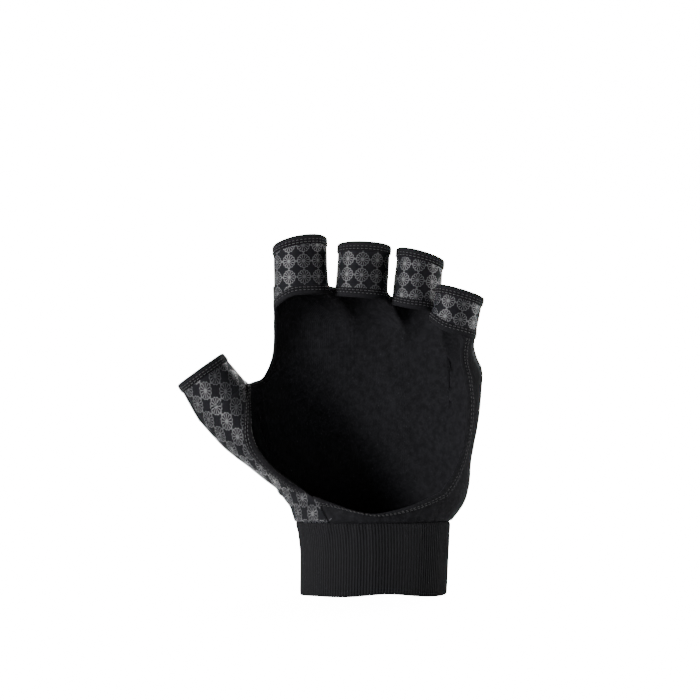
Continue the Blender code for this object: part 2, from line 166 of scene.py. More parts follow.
def cloth(name, patches, finish, thick=0.5, wrap=False, closed=False, solid=False, lining=None):
    """One piece of cloth from grids of points, each with its map, joined where they meet.

    It is given its thickness inwards, unless it is already modelled with both its faces.
    """
    made = bmesh.new()
    layer = made.loops.layers.uv.new("cloth")
    for grid, spots in patches:
        count = grid.shape[1]
        verts = [[made.verts.new(Vector((p + MIDDLE) * 0.001)) for p in row] for row in grid]
        for r in range(grid.shape[0] - (0 if closed else 1)):
            up = (r + 1) % grid.shape[0]
            for c in range(count if wrap else count - 1):
                d = (c + 1) % count
                face = made.faces.new((verts[r][c], verts[r][d], verts[up][d], verts[up][c]))
                face.smooth = True
                corners = ((r, c), (r, c + 1), (r + 1, c + 1), (r + 1, c))
                for loop, (a, b) in zip(face.loops, corners):
                    loop[layer].uv = spots[a % spots.shape[0], b % spots.shape[1]]
    bmesh.ops.remove_doubles(made, verts=made.verts, dist=3e-6)
    if solid:
        bmesh.ops.holes_fill(made, edges=[e for e in made.edges if e.is_boundary])
        bmesh.ops.recalc_face_normals(made, faces=made.faces)
    piece = piece_from(name, made, finish)
    if thick:
        shell = piece.modifiers.new("thickness", "SOLIDIFY")
        shell.thickness = thick * 0.001
        shell.offset = -1
        if lining:
            piece.data.materials.append(lining)
            shell.material_offset = 1
            shell.material_offset_rim = 1
    return piece


def node(tree, kind, settings=None, **links):
    """A node of a finish: its settings by name, and its inputs by i and their number."""
    made = tree.nodes.new(kind)
    for key, value in (settings or {}).items():
        setattr(made, key, value)
    for key, value in links.items():
        socket = made.inputs[int(key[1:])]
        if isinstance(value, bpy.types.NodeSocket):
            tree.links.new(value, socket)
        else:
            socket.default_value = value
    return made


def sums(how, a, b=0.0, c=0.0):
    """One step of arithmetic in a finish."""
    tree = next(v.id_data for v in (a, b, c) if isinstance(v, bpy.types.NodeSocket))
    return node(tree, "ShaderNodeMath", {"operation": how}, i0=a, i1=b, i2=c).outputs[0]


def between(value, low, high, to_low=0.0, to_high=1.0):
    """A value eased from one number to another between two limits, in a finish."""
    return node(value.id_data, "ShaderNodeMapRange", {"interpolation_type": "SMOOTHSTEP"},
                i0=value, i1=low, i2=high, i3=to_low, i4=to_high).outputs[0]


def speckle(tree, scale, detail=3.0):
    """An uneven value through the cloth, in a finish."""
    made = node(tree, "ShaderNodeTexNoise")
    made.inputs["Scale"].default_value = scale
    made.inputs["Detail"].default_value = detail
    return made.outputs[0]


def new_finish(name):
    """A new finish: itself, its nodes, its shader, and the place in the cloth map."""
    made = bpy.data.materials.new(name)
    made.use_nodes = True
    tree = made.node_tree
    split = node(tree, "ShaderNodeSeparateXYZ")
    spots = node(tree, "ShaderNodeUVMap", {"uv_map": "cloth"})
    tree.links.new(spots.outputs[0], split.inputs[0])
    return made, tree, tree.nodes["Principled BSDF"], split.outputs[0], split.outputs[1]


def colour_of(share, low, high):
    """A colour between two, by a share, in a finish."""
    return node(share.id_data, "ShaderNodeMix", {"data_type": "RGBA"}, i0=share, i6=(*low, 1),
                i7=(*high, 1)).outputs[2]


def relief(height, strength, deep):
    """A surface relief in a finish, deep in millimetres."""
    made = node(height.id_data, "ShaderNodeBump")
    made.inputs["Strength"].default_value = strength
    made.inputs["Distance"].default_value = deep * 0.001
    height.id_data.links.new(height, made.inputs["Height"])
    return made.outputs[0]


rib_finish, tree, shader, u, v = new_finish("black_elastic_rib")
wale = sums("SINE", sums("MULTIPLY", u, 2 * math.pi * 6.0))
course = sums("SINE", sums("MULTIPLY", v, 2 * math.pi * 13.0))
height = sums("MULTIPLY_ADD", course, 0.2, wale)
height = sums("MULTIPLY_ADD", speckle(tree, 900.0), 0.9, height)
faded = between(speckle(tree, 70.0), 0.3, 0.7, 0.3, 0.65)
# the ribs are painted lighter on their crests and darker in the grooves between them, a painted
# shade in the grooves; the noise adds an uneven tone
tone = sums("MULTIPLY_ADD", wale, 0.2, faded)
tree.links.new(colour_of(tone, (0.0016, 0.0016, 0.0018), (0.0038, 0.0038, 0.0042)),
               shader.inputs["Base Color"])
tree.links.new(relief(height, 0.55, 0.12), shader.inputs["Normal"])
shader.inputs["Roughness"].default_value = 0.85
shader.inputs["Specular IOR Level"].default_value = 0.02
shader.inputs["Sheen Weight"].default_value = 0.003
shader.inputs["Sheen Roughness"].default_value = 0.5

RIBS = 156
# height, the two sides, and half the depth
CUFF = np.array([(0, -13.3, 48.4, 20.2), (9, -13.2, 48.8, 20.0), (18, -13.2, 49.2, 20.0),
                 (26, -14.0, 49.6, 20.0), (31.3, -15.4, 50.0, 20.2)])


def cuff_point(z, angle, inset=0.0):
    """A point on the cuff: angle 0 is the palm side and 90 the little finger side."""
    left, right, deep = [np.interp(z, CUFF[:, 0], CUFF[:, k]) for k in (1, 2, 3)]
    s, c = math.sin(math.radians(angle)), math.cos(math.radians(angle))
    return np.array([(left + right) / 2 + ((right - left) / 2 - inset) * s,
                     -(deep - inset) * c, z])


cuff_section = [(26.0, 1.5), (14.0, 1.5), (5.0, 1.5), (1.3, 1.45), (0.45, 1.15), (0.05, 0.72),
                (0.3, 0.3), (0.9, 0.08)]
cuff_section += [(z, 0.0) for z in np.arange(1.9, 28.8, 1.2)]
cuff_section += [(29.2, 0.0), (30.0, 0.1), (30.6, 0.32), (30.95, 0.75)]
angles = np.linspace(0, 360, 4 * RIBS, endpoint=False)
grid = np.zeros((len(cuff_section), len(angles), 3))
for r, (z, inset) in enumerate(cuff_section):
    for c, angle in enumerate(angles):
        p = cuff_point(z, angle, inset)
        turn = math.radians(angle)
        pull = 0.3 * noise.noise(Vector((p[0] * 0.2, p[1] * 0.2, z * 0.02 + 3)))
        pull += 0.3 * ease(20, 31, z) * noise.noise(Vector((p[0] * 0.45, p[1] * 0.45, 7)))
        if inset < 1:
            pull += 0.09 * math.sin(RIBS * turn)
        grid[r, c] = p + np.array([math.sin(turn), -math.cos(turn), 0]) * pull
        lift = 1.3 * math.exp(-((p[0] - 22) / 13) ** 2) * (math.cos(turn) > 0)
        grid[r, c, 2] += (lift + 0.15 * math.sin(5 * turn)) * (1 - ease(0, 16, z))
around = np.linspace(0, RIBS / 6, len(angles) + 1)
spots = np.array([[(s, z / WHEEL) for s in around] for z, inset in cuff_section])
cuff = cloth("wrist_cuff_elastic", [(grid, spots)], rib_finish, thick=0, wrap=True)
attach(cuff, "cuff")
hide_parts("wrist_cuff")

# Plain back: one piece of black stretch jersey over the back of the hand. It goes on round the
# little finger side and across the heel of the palm, up to the edge of the palm opening.
# Its lower edge is eased into the cuff seam, which leaves small gathers there.
plain_finish, tree, shader, u, v = new_finish("black_jersey")
wales = sums("MULTIPLY", u, 2 * math.pi * 11.0)
loops = sums("MULTIPLY_ADD", sums("SINE", wales), 1.1,
             sums("MULTIPLY", v, 2 * math.pi * 14.0))
height = sums("MULTIPLY_ADD", sums("COSINE", wales), 0.5, sums("SINE", loops))
height = sums("MULTIPLY_ADD", speckle(tree, 1100.0), 1.2, height)
tone = between(speckle(tree, 45.0), 0.3, 0.7)
tree.links.new(colour_of(tone, (0.0017, 0.0017, 0.0020), (0.0031, 0.0031, 0.0036)),
               shader.inputs["Base Color"])
tree.links.new(relief(height, 0.5, 0.1), shader.inputs["Normal"])
shader.inputs["Roughness"].default_value = 0.8
shader.inputs["Specular IOR Level"].default_value = 0.02
shader.inputs["Sheen Weight"].default_value = 0.003
shader.inputs["Sheen Roughness"].default_value = 0.45

# height, the two sides, the line between back and palm, the depths to the back and to the palm,
# and how far round the thumb side the back's edge is
HAND = smooth_through([
    (30.0, -15.4, 49.8, 0.0, 20.0, 20.4, 0.98),
    (31.3, -15.8, 50.1, 0.0, 20.0, 20.4, 0.98),
    (37.5, -17.7, 55.4, -0.2, 19.6, 20.6, 0.95),
    (43.8, -19.5, 57.5, -0.6, 19.0, 20.6, 0.88),
    (54.0, -24.0, 58.7, -1.2, 18.0, 19.5, 0.82),
    (64.0, -28.0, 60.2, -1.6, 17.0, 18.0, 0.80),
    (74.0, -31.0, 61.8, -2.0, 16.2, 16.8, 0.80),
    (82.0, -32.4, 62.9, -2.0, 15.6, 16.0, 0.84),
    (88.4, -31.0, 63.4, -2.0, 15.2, 15.4, 0.92),
    (94.0, -27.4, 63.4, -2.0, 14.9, 15.0, 0.96),
    (100.0, -25.1, 62.0, -2.0, 14.6, 14.6, 0.98),
    (106.0, -24.4, 60.8, -2.0, 14.2, 14.2, 0.98),
    (116.0, -24.4, 60.6, -2.0, 13.6, 13.6, 0.98),
    (131.0, -24.2, 60.6, -2.0, 13.0, 13.0, 0.98)], 6)
# at is the middle of a sleeve's base, lean and back its tilt in degrees, wide and deep its half
# sizes at the base and the top, roll and pitch how its top edge slopes, and palm the part of the
# way round, in degrees, that its palm hem covers
FINGERS = {
    "index": dict(at=(-12.5, -2.0, 125.6), lean=-2.0, back=2.0, wide=(11.6, 11.1),
                  deep=(9.9, 9.6), long=22.6, roll=1.5, pitch=2.4, palm=(-83, 73)),
    "middle": dict(at=(12.3, 0.5, 124.4), lean=4.0, back=2.0, wide=(11.1, 10.9),
                   deep=(9.7, 9.5), long=22.6, roll=0.3, pitch=1.2, palm=(-73, 73)),
    "ring": dict(at=(35.3, 1.6, 119.6), lean=5.2, back=2.0, wide=(10.3, 9.9),
                 deep=(9.2, 9.0), long=23.6, roll=-1.7, pitch=1.2, palm=(-73, 52)),
    "little": dict(at=(50.0, -12.9, 109.6), lean=12.3, back=1.0, wide=(10.0, 9.9),
                   deep=(8.2, 8.0), long=18.2, roll=-0.7, pitch=0.8, palm=(-100, 82)),
}
HEM_DROP = {"index": (5.2, -0.2), "middle": (-0.3, 0.0), "ring": (-1.4, 0.9),
            "little": (-3.4, 0.4)}
BEND_START, BEND_END = 4.3, 10.9


def hand_at(z):
    """Half the hand part's breadth and its middle, its depth line, and its two depths."""
    left, right, centre, back, palm, turn = [np.interp(z, HAND[:, 0], HAND[:, k])
                                             for k in range(1, 7)]
    wrist_left = np.interp(z, (31.8, 37.4, 42.0, 43.8), (-15.8, -17.7, -21.1, -22.4))
    whole = 1 - ease(38, 50, z)
    half = (right - left) / (1 + turn) * (1 - whole) + (right - wrist_left) / 2 * whole
    return half, right - half, centre, back, palm


def hand_point(z, angle):
    """A point on the hand part: angle 0 is the palm, 90 the little finger side, 180 the back."""
    half, middle, centre, back, palm = hand_at(z)
    s, c = math.sin(math.radians(angle)), math.cos(math.radians(angle))
    return np.array([middle + half * s, centre - (palm if c > 0 else back) * c, z])


def palm_angle(z, x):
    """The angle on the palm side where the hand part is at x."""
    half, middle, *_ = hand_at(z)
    return math.degrees(math.asin(np.clip((x - middle) / half, -1, 1)))


def round_by(z, angle, distance):
    """How many degrees round the hand part a distance along the cloth is."""
    half, _, _, back, _ = hand_at(z)
    r = math.radians(angle)
    return math.degrees(distance / math.hypot(half * math.cos(r), back * math.sin(r)))


def thumb_side(z):
    """The angle of the plain back's edge on the thumb side."""
    turn = np.interp(z, HAND[:, 0], HAND[:, 6])
    edge = 180 + math.degrees(math.asin(min(turn, 1)))
    return 268 + (edge - 268) * ease(40, 50, z)


def sleeve_axes(lean, back):
    """Unit vectors up a sleeve, to its little finger side and to its back."""
    t, b = math.radians(lean), math.radians(back)
    up = np.array([math.sin(t) * math.cos(b), math.sin(b), math.cos(t) * math.cos(b)])
    side = np.array([math.cos(t), 0, -math.sin(t)])
    return up, side, np.cross(up, side)


def sleeve_point(f, up_by, angle, grow=0.0):
    """A point on a sleeve, up_by above its base line."""
    up, side, rear = sleeve_axes(f["lean"], f["back"])
    t = up_by / f["long"]
    wide, deep = [a + (b - a) * t + grow for a, b in (f["wide"], f["deep"])]
    s, c = math.sin(math.radians(angle)), math.cos(math.radians(angle))
    return np.array(f["at"]) + up * up_by + side * wide * s - rear * deep * c


def finger_point(name, up_by, angle, grow=0.0):
    """A point on a finger sleeve."""
    return sleeve_point(FINGERS[name], up_by, angle, grow)


def toward_finger(p, name, up_by, angle, below):
    """A point of the hand part drawn onto a finger's oval near the finger's base."""
    return p + (finger_point(name, up_by - below, angle) - p) * ease(0, 1, 1 - below / 17)


def palm_hem_line(name, angle):
    """How far up a sleeve the lower edge of its palm hem is."""
    low_side, high_side = HEM_DROP[name]
    s = math.sin(math.radians(angle))
    return -low_side * s ** 2 if s < 0 else -high_side * s ** 2


HEEL_EDGE = smooth_through([(-6.5, 41.9), (-3.5, 40.5), (1.5, 38.8), (6.0, 37.3), (11.0, 35.8),
                            (16.0, 34.9), (21.0, 35.3), (28.0, 36.8), (34.0, 38.6), (40.0, 41.0),
                            (45.6, 43.8)], 4)
SIDE_EDGE = smooth_through([(43.8, 45.6), (50.4, 50.4), (56.0, 53.0), (63.0, 55.2), (71.0, 56.7),
                            (81.0, 56.8), (90.0, 55.8), (97.0, 54.8), (106.0, 54.6)], 4)
BASE_Z = 30.6
columns = []
for name, turns in (("index", np.linspace(-92, -244, 15)), ("middle", np.linspace(-112, -248, 14)),
                    ("ring", np.linspace(-112, -262, 14)), ("little", np.linspace(-150, -268, 12))):
    columns += [(name, turn, finger_point(name, BEND_START, turn)) for turn in turns]
left, right = columns[0][2][0], columns[-1][2][0]
levels = np.linspace(0, 1, 84)
back_grid = np.zeros((len(levels), len(columns), 3))
back_spots = np.zeros((len(levels), len(columns), 2))
for r, t in enumerate(levels):
    for k, (name, turn, top) in enumerate(columns):
        z = BASE_Z + (top[2] - BASE_Z) * t
        share = (math.degrees(math.asin(np.clip(2 * (top[0] - left) / (right - left) - 1, -1, 1)))
                 + 90) / 180
        start = thumb_side(z) - round_by(z, thumb_side(z), 2.6) * ease(89.5, 92.5, z)
        p = hand_point(z, start + (92 - start) * share)
        p = toward_finger(p, name, BEND_START, turn, top[2] - z)
        # the knuckles push the cloth out, and it sinks a little between them
        knuckle = math.exp(-((top[2] - 12 - z) / 9) ** 2) * math.cos(math.radians(turn + 180)) ** 2
        p[1] += 1.3 * knuckle
        back_grid[r, k] = p
        back_spots[r, k] = (-(k / (len(columns) - 1)) * 14.0, z / WHEEL)
back_grid, back_spots = back_grid[:, ::-1], back_spots[:, ::-1]

# the heel: from the side line of the little finger round to the edge of the palm opening
side_count, depth_count = 40, 22
across = np.linspace(0, 1, depth_count)
heel_grid = np.zeros((side_count + len(levels), depth_count, 3))
heel_spots = np.zeros((side_count + len(levels), depth_count, 2))
seam_low = palm_angle(BASE_Z, -1.0)
for r in range(side_count):
    s = r / side_count
    at = s * (len(HEEL_EDGE) - 1)
    x, z_in = [np.interp(at, range(len(HEEL_EDGE)), HEEL_EDGE[:, k]) for k in (0, 1)]
    low_angle = seam_low + (92 - seam_low) * s
    near, under = max(0, 1 - r / 5), 2.4 * max(0, 1 - r / 2)
    for c, t in enumerate(across):
        z = BASE_Z + (z_in - BASE_Z) * t
        angle = low_angle + (palm_angle(z_in, x) - low_angle) * t
        angle += (palm_angle(z, -1.0 + (x + 1.0) * t) - angle) * near - under
        heel_grid[r, c] = hand_point(z, angle) + np.array([0, 0.35 * under, 0])
        heel_spots[r, c] = (heel_grid[r, c, 0] / WHEEL, z / WHEEL)
for r, level in enumerate(levels):
    for c, t in enumerate(across):
        turn = 92 - 65 * t
        up_by = BEND_START + (palm_hem_line("little", turn) - BEND_START) * ease(0, 0.2, t)
        top = finger_point("little", up_by, turn)
        z_low = BASE_Z + (43.8 - BASE_Z) * t
        z = z_low + (top[2] - z_low) * level
        edge = palm_angle(z, np.interp(z, SIDE_EDGE[:, 0], SIDE_EDGE[:, 1]))
        p = hand_point(z, 92 + (edge - 92) * t)
        heel_grid[side_count + r, c] = toward_finger(p, "little", up_by, turn, top[2] - z)
        heel_spots[side_count + r, c] = (9.0 - 3.0 * t, z / WHEEL)
# the little finger side line is the back's own edge, so the two parts are one cloth there
heel_grid[side_count:, 0] = back_grid[:, 0]


def tuck(z):
    """How far the cloth is drawn in at the cuff seam."""
    return 1.1 * (1 - ease(BASE_Z, 32.2, z)) ** 2


def eased(x, y, z):
    """The gathers of the plain cloth at the cuff seam, its tension folds and unevenness."""
    turn = math.atan2(x - 17, -y)
    gather = math.sin(turn * 44 + 1.5 * math.sin(turn * 7)) * (1 - ease(31, 41, z))
    fold = noise.noise(Vector((x * 0.08 + z * 0.05, y * 0.08, z * 0.035)))
    small = noise.noise(Vector((x * 0.3, y * 0.3, z * 0.2)))
    return 0.22 * gather + 0.55 * fold + 0.12 * small - 0.1 - tuck(z)


back_out, heel_out = facing(back_grid), facing(heel_grid.transpose(1, 0, 2)).transpose(1, 0, 2)
heel_out[side_count:, 0] = back_out[:, 0]
back_made = moved_out(back_grid, back_out, eased)
heel_made = moved_out(heel_grid, heel_out, eased)
plain_back = cloth("plain_back_and_heel",
                   [(back_made, back_spots),
                    (heel_made.transpose(1, 0, 2), heel_spots.transpose(1, 0, 2))], plain_finish)
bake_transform(plain_back)
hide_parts("back_panel", "wrist_back_band", "heel_panel")

# Printed thumb panel: stretch knit with raised rubbery wheels printed on it for grip. One piece
# covers the ball of the thumb from the cuff seam up to the thumb, where the sleeve is sewn on.
# The wheel is a plain spoked one, and its rows run along the thumb and along the fingers.
print_finish, tree, shader, u, v = new_finish("knit_with_grip_print")


def off_centre(value, shift=0.0):
    """How far a map value is from the nearest whole number, after a shift."""
    moved = sums("ADD", value, shift + 0.5)
    return sums("SUBTRACT", sums("FRACT", moved), 0.5)


fu, fv = off_centre(u), off_centre(v)
far = sums("SQRT", sums("MULTIPLY_ADD", fu, fu, sums("MULTIPLY", fv, fv)))
turn = sums("ARCTAN2", fv, fu)
SPOKES = 12.0
petal = sums("COSINE", sums("MULTIPLY", turn, SPOKES))
hub = between(far, 0.065, 0.095, 1.0, 0.0)
hole_round = sums("ABSOLUTE", sums("SUBTRACT", far, 0.235))
hole = sums("MULTIPLY", between(petal, -0.55, 0.0),
            between(hole_round, 0.105, 0.135, 1.0, 0.0))
rim = sums("MULTIPLY_ADD", petal, 0.018, 0.435)
disc = between(sums("SUBTRACT", far, rim), -0.012, 0.012, 1.0, 0.0)
groove_round = sums("ABSOLUTE", sums("SUBTRACT", far, 0.375))
groove = between(groove_round, 0.008, 0.022, 1.0, 0.0)
bare = sums("MAXIMUM", hole, sums("MULTIPLY", groove, 0.75))
wheel = sums("MULTIPLY", disc, sums("SUBTRACT", 1.0, bare))
wheel = sums("MAXIMUM", wheel, hub)
gu, gv = off_centre(u, 0.5), off_centre(v, 0.5)
ties = []
for a, b in ((gu, fv), (fu, gv)):
    long_way, wide_way = sums("ABSOLUTE", a), sums("ABSOLUTE", b)
    uneven_by = sums("ABSOLUTE", sums("SUBTRACT", long_way, wide_way))
    arm = between(uneven_by, 0.012, 0.032, 1.0, 0.0)
    near = between(sums("MAXIMUM", long_way, wide_way), 0.10, 0.13, 1.0, 0.0)
    ties.append(sums("MULTIPLY", arm, near))
ink = sums("MAXIMUM", wheel, sums("MAXIMUM", *ties))
worn = between(speckle(tree, 420.0, 2.0), 0.30, 0.62, 0.35, 1.0)
ink = sums("MULTIPLY", ink, worn)

wales = sums("MULTIPLY", u, 2 * math.pi * 13.0)
loops = sums("SINE", sums("MULTIPLY_ADD", sums("SINE", wales), 1.1,
                          sums("MULTIPLY", v, 2 * math.pi * 16.0)))
height = sums("MULTIPLY_ADD", sums("COSINE", wales), 0.4, loops)
height = sums("MULTIPLY", height, sums("MULTIPLY_ADD", ink, -0.85, 1.0))
height = sums("MULTIPLY_ADD", ink, 0.3, height)
lint = sums("MULTIPLY", speckle(tree, 1100.0), sums("MULTIPLY_ADD", ink, -0.7, 0.8))
height = sums("ADD", lint, height)
tree.links.new(colour_of(ink, (0.0017, 0.0018, 0.0023), (0.0022, 0.0024, 0.0034)),
               shader.inputs["Base Color"])
tree.links.new(relief(height, 0.5, 0.1), shader.inputs["Normal"])
tree.links.new(between(ink, 0.0, 1.0, 0.75, 0.29), shader.inputs["Roughness"])
tree.links.new(between(ink, 0.0, 1.0, 0.03, 0.29), shader.inputs["Specular IOR Level"])

# the thumb panel's outer side line and its palm edge, as seen from the palm
THUMB_OUTER = smooth_through([(-20.7, 41.6), (-22.4, 43.8), (-33.7, 53.0), (-44.4, 61.4),
                              (-55.4, 73.6)], 12)
THUMB_INNER = smooth_through([(-6.5, 41.9), (-13.2, 45.4), (-24.8, 54.6), (-31.8, 65.4),
                              (-33.2, 76.0), (-34.0, 88.4)], 12)
THUMB_LEAN, THUMB_AT, THUMB_LONG = -35.6, np.array([-44.9, -9.0, 81.0]), 17.2
THUMB = dict(at=THUMB_AT, lean=THUMB_LEAN, back=0.0, wide=(12.9, 11.3), deep=(11.2, 10.6),
             long=THUMB_LONG)


def thumb_point(up_by, angle, grow=0.0):
    """A point on the thumb sleeve."""
    return sleeve_point(THUMB, up_by, angle, grow)


def along(curve, share, start):
    """A point part of the way along a curve, from one of its own points."""
    steps = np.linalg.norm(np.diff(curve[start:], axis=0), axis=1)
    at = np.concatenate([[0], np.cumsum(steps)])
    return np.array([np.interp(share * at[-1], at, curve[start:, k]) for k in (0, 1)])


def thumb_row(share_up, shares):
    """Points round the ball of the thumb: share 0 is the outer side line, 1 the palm edge."""
    outer, inner = along(THUMB_OUTER, share_up, 12), along(THUMB_INNER, share_up, 12)
    depth, bulge, turn = [np.interp(share_up, np.linspace(0, 1, 4), values) for values in
                          ((-0.6, -4.0, -7.5, -9.0), (20.6, 18.6, 14.6, 11.5),
                           (40.5, 70.0, 112.0, 172.0))]
    row = []
    for s in shares:
        r = math.radians(turn * s)
        p = outer + (inner - outer) * (1 - math.cos(r)) / (1 - math.cos(math.radians(turn)))
        row.append(np.array([p[0], depth - bulge * math.sin(r), p[1]]))
    return np.array(row), outer, depth


def thumb_seam(share_up):
    """Where the side seam between the print and the plain back runs round the thumb."""
    return np.interp(share_up, (-0.35, -0.05, 0.12, 0.35, 0.62, 0.85, 1.0),
                     (0.13, 0.10, 0.045, 0.035, 0.06, 0.115, 0.135))


def low_seams(z):
    """The angles of the panel's side seam and of its seam to the heel, near the cuff."""
    heel = palm_angle(z, -1.0 - 5.5 * (z - BASE_Z) / (41.9 - BASE_Z))
    return -90 + (heel + 90) * thumb_seam((z - 44) / 40), heel


WIDE_COUNT = 46
LOW_LEVELS, UP_SHARES = (BASE_Z, 32.2, 34.0, 37.0, 40.0), np.linspace(0.0, 1, 9)
SPAN = 6  # points along the cloth for each row worked out
rows = [[hand_point(z, a) for a in np.linspace(*low_seams(z), WIDE_COUNT)] for z in LOW_LEVELS]
for share_up in UP_SHARES:
    rows.append(thumb_row(share_up, np.linspace(thumb_seam(share_up), 1, WIDE_COUNT))[0])
for up_by in (3.5, 7.2, 11.0, 14.4):
    rows.append([thumb_point(up_by, a) for a in np.linspace(-66.8, 82, WIDE_COUNT)])
panel_whole = smooth_through(rows, SPAN)
SLEEVE_START = SPAN * (len(LOW_LEVELS) + len(UP_SHARES) - 1) + 1
THUMB_WHEEL_AT = np.array([-47.72, 79.63])
WHEEL_STEPS = np.array([[3.99, -4.41], [6.17, 6.38]])  # across the thumb, and along it


def lattice(grid):
    """The place of each point in the thumb's print, by unrolling each row of the cloth."""
    out = facing(grid)
    made = np.zeros(grid.shape[:2] + (2,))
    for r, row in enumerate(grid):
        flat = row[:, [0, 2]]
        way = flat[-1] - flat[0]
        way = way / np.linalg.norm(way)
        arc = np.concatenate([[0], np.cumsum(np.linalg.norm(np.diff(row, axis=0), axis=1))])
        seen = np.concatenate([[0], np.cumsum(np.linalg.norm(np.diff(flat, axis=0), axis=1))])
        front = int(np.argmin(out[r, :, 1]))
        extra = (arc - arc[front]) - (seen - seen[front])
        spot = flat + way * extra[:, None] - THUMB_WHEEL_AT
        made[r] = np.linalg.solve(WHEEL_STEPS, spot.T).T
    return made


whole_spots = lattice(panel_whole)
panel_spots = whole_spots[:SLEEVE_START + 1]


def tucked(grid, out, sides=(True, True), deep=0.4):
    """The cloth with its two long edges drawn in at their seams."""
    made = grid.copy()
    for c, share in ((0, 1.0), (1, 0.3)):
        if sides[0]:
            made[:, c] -= out[:, c] * deep * share
        if sides[1]:
            made[:, -1 - c] -= out[:, -1 - c] * deep * share
    return made


def taut(x, y, z):
    """The small unevenness of stretched knit on the thumb."""
    fold = noise.noise(Vector((x * 0.10 + z * 0.06, y * 0.10, z * 0.05)))
    small = noise.noise(Vector((x * 0.35, y * 0.35, z * 0.25)))
    return 0.35 * (fold + 0.25 * small) - tuck(z)


whole_out = facing(panel_whole)
whole_made = moved_out(tucked(panel_whole, whole_out, (True, False)), whole_out, taut)
panel_grid, panel_out = panel_whole[:SLEEVE_START + 1], whole_out[:SLEEVE_START + 1]
thumb_panel = cloth("thumb_grip_panel", [(whole_made[:SLEEVE_START + 1], panel_spots)],
                    print_finish, lining=plain_finish)
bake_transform(thumb_panel)
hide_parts("thumb_panel", "thumb_panel_tail")

# Plain back of the thumb: a strip of jersey from the print's side seam, round the outer side of
# the thumb, to the edge of the back. Its own edge goes a little under the back and is sewn there.


def even_map(grid, across, up):
    """A cloth map in even steps over a grid of points."""
    return np.array([[(c * across, r * up) for c in range(grid.shape[1])]
                     for r in range(grid.shape[0])])


def under_back(z, seam):
    """Points on the part of the strip that lies under the edge of the back."""
    found = []
    for inside, deep in ((2.6, 1.3), (1.7, 1.1), (0.8, 0.7)):
        p = hand_point(z, seam - round_by(z, seam, inside))
        centre = np.array([17.0, -1.0, z])
        found.append(p + (centre - p) / np.linalg.norm(centre - p) * deep)
    return found


rows = []
for z in LOW_LEVELS:
    start, end = low_seams(z)[0], thumb_side(z) - 360
    rows.append(under_back(z, end) + [hand_point(z, a) for a in np.linspace(end, start, 24)])
for share_up in UP_SHARES:
    front, outer, depth = thumb_row(share_up, thumb_seam(share_up) * np.linspace(1, 0, 7)[:-1])
    z = 43.8 + (90.4 - 43.8) * share_up
    seam = hand_point(z, thumb_side(z))
    start = np.array([outer[0], depth, outer[1]])
    back = list(front)
    for s in np.linspace(0, 1, 18):
        low = start + (seam - start) * np.array([1 - math.cos(math.pi / 2 * s),
                                                 math.sin(math.pi / 2 * s), s])
        if s < 0.75:
            ring = thumb_point(0.3, 270 - 160 * s / 0.75)
        else:
            ring = thumb_point(0.3, 110) + (seam - thumb_point(0.3, 110)) * (s - 0.75) / 0.25
        back.append(low + (ring - low) * share_up ** 1.6)
    rows.append(under_back(z, thumb_side(z)) + back[::-1])
grid = smooth_through(rows, SPAN)
out = facing(grid)
made = moved_out(tucked(grid, out), out, taut)
thumb_back = cloth("thumb_plain_back_panel", [(made, even_map(grid, 0.3, 0.12))], plain_finish)
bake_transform(thumb_back)
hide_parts("thumb_back_panel")

# Thumb sleeve: a printed front and a plain back, sewn together at the two sides.
# Both run on from the panels below and are sewn to them at the base of the thumb.
thumb_up, _, _ = sleeve_axes(THUMB_LEAN, 0.0)
grid = whole_made[SLEEVE_START:]
heights = [(row[-1] - THUMB_AT) @ thumb_up for row in panel_whole[SLEEVE_START:]]
web = np.array([[thumb_point(h, a) for a in np.linspace(82, 110, 10)] for h in heights])
web_out = facing(web)
web = moved_out(tucked(web, web_out, (False, True)), web_out, taut)
web[:, 0] = grid[:, -1]
web_spots = np.zeros((len(web), 10, 2))
for c in range(10):
    away = np.array([c * 0.55, -c * 0.25]) * 0.9
    web_spots[:, c] = whole_spots[SLEEVE_START:, -1] + away
thumb_front = cloth("thumb_sleeve_front", [(grid, whole_spots[SLEEVE_START:]), (web, web_spots)],
                    print_finish, lining=plain_finish)
grid = np.array([[thumb_point(h, a) for a in np.linspace(105.0, 298.5, 40)]
                 for h in np.linspace(-0.6, 14.4, 24)])
out = facing(grid)
made = moved_out(tucked(grid, out, deep=0.9), out, taut)
thumb_rear = cloth("thumb_sleeve_back", [(made, even_map(grid, 0.14, 0.12))], plain_finish)
for piece, slot_name, nodes, size, area in (
    (thumb_front, "grip_knit", ("thumb_grip_front", "thumb_bend_band"), (0.034, 0.018), 0.00052),
    (thumb_rear, "plain_knit", ("thumb_back",), (0.034, 0.018), 0.00052),
):
    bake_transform(piece)
    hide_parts(*nodes)

# Turned hems round the palm opening: the cloth's edge is folded in 4 mm and sewn down with two
# rows of black thread. One runs along the thumb panel, one over the heel and up the little
# finger side, and one over the web of the thumb up to the index finger.
HEM_WIDE, STITCH_ROWS = 4.3, (3.4, 2.2)
# the section of a folded hem: how far in from the edge, and how far out of the cloth
FOLD = ((4.3, 0.02), (3.95, 0.20), (3.45, 0.20), (3.1, 0.36), (2.6, 0.42), (2.2, 0.34),
        (1.8, 0.44), (1.1, 0.46), (0.55, 0.36), (0.15, 0.06), (0.0, -0.35), (0.15, -0.75),
        (0.6, -1.02), (1.4, -1.08), (2.8, -1.02), (4.2, -0.85))


def walk(line, distance):
    """A point part of the way along a row of points or of anything that goes with them."""
    at = np.concatenate([[0], np.cumsum(np.linalg.norm(np.diff(line[:, :3], axis=0), axis=1))])
    return np.array([np.interp(distance, at, line[:, k]) for k in range(line.shape[1])])


def hem_share(line):
    """How much of its full width a hem has on a row of points, which may be a short one."""
    length = np.linalg.norm(np.diff(line, axis=0), axis=1).sum()
    return min(HEM_WIDE, 0.8 * length) / HEM_WIDE


